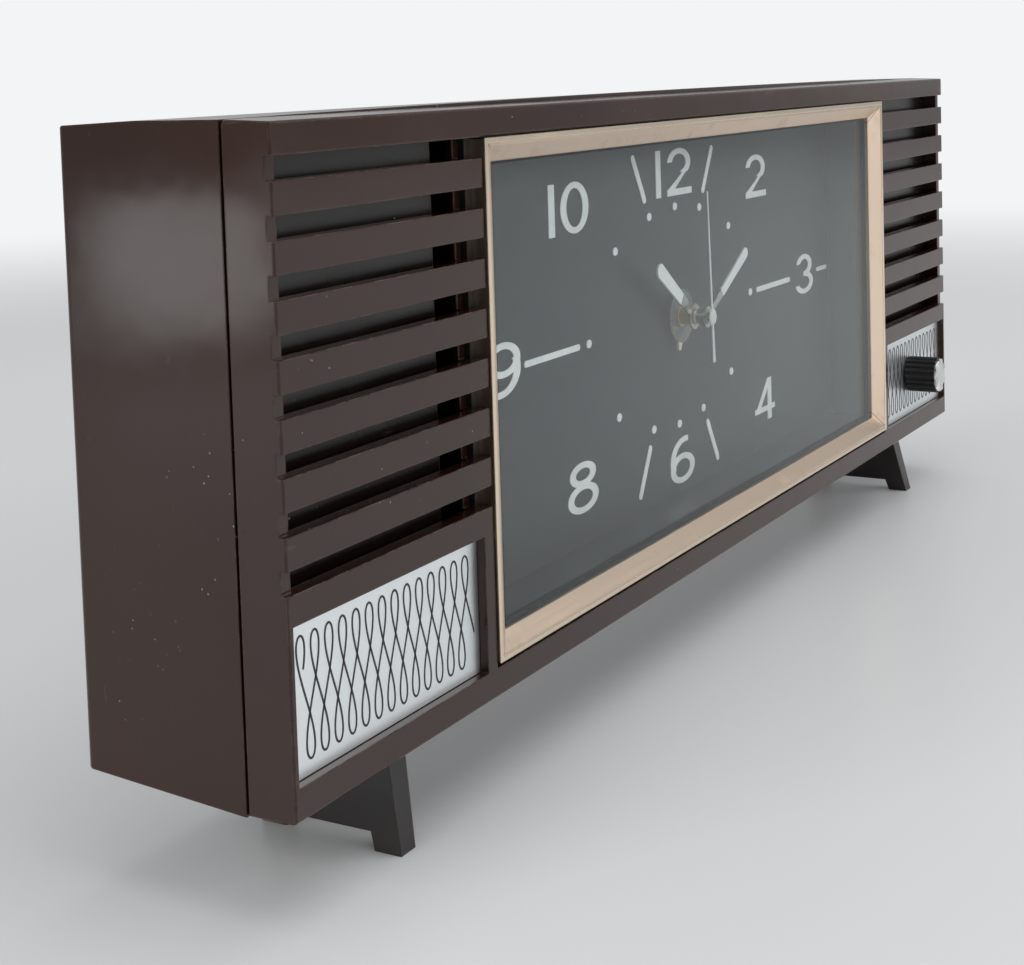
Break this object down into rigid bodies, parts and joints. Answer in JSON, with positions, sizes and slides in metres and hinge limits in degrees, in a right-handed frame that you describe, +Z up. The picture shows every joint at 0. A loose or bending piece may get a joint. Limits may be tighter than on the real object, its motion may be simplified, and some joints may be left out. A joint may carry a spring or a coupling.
{
  "type": "alarm clock",
  "caption": "Long, low wind-up alarm clock in dark brown plastic: wide black dial behind glass, slatted grilles, patterned trim plates, low legs",
  "frame": {"origin": "centre of the bounding box in X and Y, on the plane that the feet stand on", "axes": "X along the width, front towards -Y, Z up"},
  "size_m": [0.2966, 0.055, 0.1073],
  "materials": {
    "brown_plastic": "dark chocolate brown, glossy",
    "cover_plastic": "dark brown, slightly matt",
    "bezel_metal": "champagne, satin",
    "clear_glass": "clear, flat",
    "black_plastic": "black",
    "dial_paint": "black, satin",
    "white_paint": "white",
    "panel_black": "black, smooth",
    "white_metal": "silver white with a black printed pattern",
    "leg_plastic": "black",
    "steel": "plain",
    "blue_steel": "tempered",
    "bell_metal": "nickel",
    "brass": "plain",
    "plated_metal": "bright",
    "clear_disc": "smoky clear with a cream pointer"
  },
  "bodies": {
    "case": {"front_shell": "brown_plastic", "rear_shell": "brown_plastic", "back_cover": "cover_plastic", "bezel": "bezel_metal", "glass": "clear_glass", "dial_surround": "black_plastic", "dial": "dial_paint", "dial_numerals": "white_paint", "grille_panel_left": "panel_black", "grille_panel_right": "panel_black", "trim_plate_left": "white_metal", "trim_plate_right": "white_metal", "leg_left": "leg_plastic", "leg_right": "leg_plastic", "leg_screws": "steel", "case_screws": "steel", "back_screws": "steel", "front_plate": "brass", "rear_plate": "brass", "plate_pillars": "brass", "plate_nuts": "steel", "time_mainspring": "blue_steel", "alarm_mainspring": "blue_steel", "bell": "bell_metal", "bell_post": "steel"},
    "seconds": {"seconds_arbor": "steel", "fourth_wheel": "brass", "seconds_hand": "white_paint"},
    "third": {"third_wheel": "brass"},
    "centre": {"centre_arbor": "steel", "centre_wheel": "brass"},
    "time_great": {"time_great_wheel": "brass"},
    "escape": {"escape_wheel": "brass"},
    "minute": {"cannon_pinion": "brass", "minute_hand": "white_paint"},
    "hour": {"hour_wheel": "brass", "hour_hand": "white_paint"},
    "minute_work": {"minute_wheel": "brass"},
    "time_set": {"set_arbor": "steel", "set_knob": "plated_metal"},
    "pallet": {"pallet_lever": "steel"},
    "balance": {"balance_wheel": "brass", "hairspring": "blue_steel"},
    "regulator": {"regulator_lever": "steel"},
    "time_winder": {"time_arbor": "steel", "time_key": "plated_metal"},
    "time_pawl": {"time_click": "steel"},
    "alarm_winder": {"alarm_arbor": "steel", "alarm_key": "plated_metal"},
    "alarm_pawl": {"alarm_click": "steel"},
    "alarm_great": {"alarm_great_wheel": "brass"},
    "alarm_escape": {"alarm_escape_wheel": "brass"},
    "hammer": {"alarm_hammer": "steel"},
    "alarm_indicator": {"alarm_wheel": "brass", "alarm_hand": "clear_disc"},
    "alarm_set": {"alarm_set_arbor": "steel", "alarm_set_knob": "plated_metal"},
    "knob": {"alarm_knob": "black_plastic", "alarm_knob_cap": "plated_metal"},
    "stop": {"stop_rod": "steel"}
  },
  "joints": [
    {"name": "seconds_turn", "type": "hinge", "parent": "case", "child": "seconds", "pos_m": [0, 0.0047, 0.0614], "axis": [0, 1, 0], "continuous": true},
    {"name": "third_turn", "type": "hinge", "parent": "case", "child": "third", "pos_m": [0.01103, 0.0047, 0.07066], "axis": [0, 1, 0], "continuous": true},
    {"name": "centre_turn", "type": "hinge", "parent": "case", "child": "centre", "pos_m": [0, 0.0017, 0.0614], "axis": [0, 1, 0], "continuous": true},
    {"name": "great_turn", "type": "hinge", "parent": "case", "child": "time_great", "pos_m": [-0.0172, -0.0008, 0.04936], "axis": [0, 1, 0], "continuous": true},
    {"name": "escape_turn", "type": "hinge", "parent": "case", "child": "escape", "pos_m": [-0.00918, 0.0097, 0.07234], "axis": [0, 1, 0], "continuous": true},
    {"name": "minute_turn", "type": "hinge", "parent": "case", "child": "minute", "pos_m": [0, -0.0083, 0.0614], "axis": [0, 1, 0], "continuous": true},
    {"name": "hour_turn", "type": "hinge", "parent": "case", "child": "hour", "pos_m": [0, -0.0083, 0.0614], "axis": [0, 1, 0], "continuous": true},
    {"name": "minute_wheel_turn", "type": "hinge", "parent": "case", "child": "minute_work", "pos_m": [0, -0.0048, 0.0518], "axis": [0, 1, 0], "continuous": true},
    {"name": "time_set_turn", "type": "hinge", "parent": "case", "child": "time_set", "pos_m": [0.00369, 0.0097, 0.04165], "axis": [0, 1, 0], "continuous": true},
    {"name": "pallet_rock", "type": "hinge", "parent": "case", "child": "pallet", "pos_m": [-0.01144, 0.0097, 0.07854], "axis": [0, 1, 0], "range_deg": [-4, 4]},
    {"name": "balance_swing", "type": "hinge", "parent": "case", "child": "balance", "pos_m": [-0.01689, 0.0027, 0.08632], "axis": [0, 1, 0], "range_deg": [-140, 140], "stiffness_Nm_per_rad": 0.00001},
    {"name": "regulator_turn", "type": "hinge", "parent": "case", "child": "regulator", "pos_m": [-0.01689, 0.0131, 0.08632], "axis": [0, 1, 0], "range_deg": [-12, 12]},
    {"name": "time_wind", "type": "hinge", "parent": "case", "child": "time_winder", "pos_m": [-0.0172, 0.0097, 0.04936], "axis": [0, 1, 0], "continuous": true},
    {"name": "time_click_lift", "type": "hinge", "parent": "case", "child": "time_pawl", "pos_m": [-0.0134, 0.0132, 0.05594], "axis": [0, 1, 0], "range_deg": [0, 12], "stiffness_Nm_per_rad": 0.0001},
    {"name": "alarm_wind", "type": "hinge", "parent": "case", "child": "alarm_winder", "pos_m": [0.027, 0.0097, 0.04936], "axis": [0, 1, 0], "continuous": true},
    {"name": "alarm_click_lift", "type": "hinge", "parent": "case", "child": "alarm_pawl", "pos_m": [0.0308, 0.0132, 0.05594], "axis": [0, 1, 0], "range_deg": [0, 12], "stiffness_Nm_per_rad": 0.0001},
    {"name": "alarm_great_turn", "type": "hinge", "parent": "case", "child": "alarm_great", "pos_m": [0.027, -0.0008, 0.04936], "axis": [0, 1, 0], "continuous": true},
    {"name": "alarm_escape_turn", "type": "hinge", "parent": "case", "child": "alarm_escape", "pos_m": [0.03281, 0.0017, 0.06533], "axis": [0, 1, 0], "continuous": true},
    {"name": "hammer_swing", "type": "hinge", "parent": "case", "child": "hammer", "pos_m": [0.03591, 0.0077, 0.0707], "axis": [0, 1, 0], "range_deg": [0, 9]},
    {"name": "alarm_hand_turn", "type": "hinge", "parent": "case", "child": "alarm_indicator", "pos_m": [0, -0.0073, 0.0614], "axis": [0, 1, 0], "continuous": true},
    {"name": "alarm_set_turn", "type": "hinge", "parent": "case", "child": "alarm_set", "pos_m": [-0.00094, 0.0097, 0.07938], "axis": [0, 1, 0], "continuous": true},
    {"name": "alarm_knob_turn", "type": "hinge", "parent": "case", "child": "knob", "pos_m": [0.1203, -0.0203, 0.03055], "axis": [0, -1, 0], "range_deg": [0, 50]},
    {"name": "stop_rod_slide", "type": "slide", "parent": "case", "child": "stop", "axis": [-1, 0, 0], "range_m": [0, 0.00422]}
  ],
  "couplings": [
    {"joint": "third_turn", "follows": "seconds_turn", "ratio": -0.13333},
    {"joint": "centre_turn", "follows": "seconds_turn", "ratio": 0.016667},
    {"joint": "great_turn", "follows": "seconds_turn", "ratio": -0.0027778},
    {"joint": "escape_turn", "follows": "seconds_turn", "ratio": -7.5},
    {"joint": "minute_turn", "follows": "time_set_turn", "ratio": 1.5},
    {"joint": "hour_turn", "follows": "time_set_turn", "ratio": 0.125},
    {"joint": "minute_wheel_turn", "follows": "time_set_turn", "ratio": -0.5},
    {"joint": "alarm_escape_turn", "follows": "alarm_great_turn", "ratio": -7.5},
    {"joint": "alarm_hand_turn", "follows": "alarm_set_turn", "ratio": -0.2},
    {"joint": "alarm_knob_turn", "follows": "stop_rod_slide", "rad_per_m": 206.4}
  ]
}
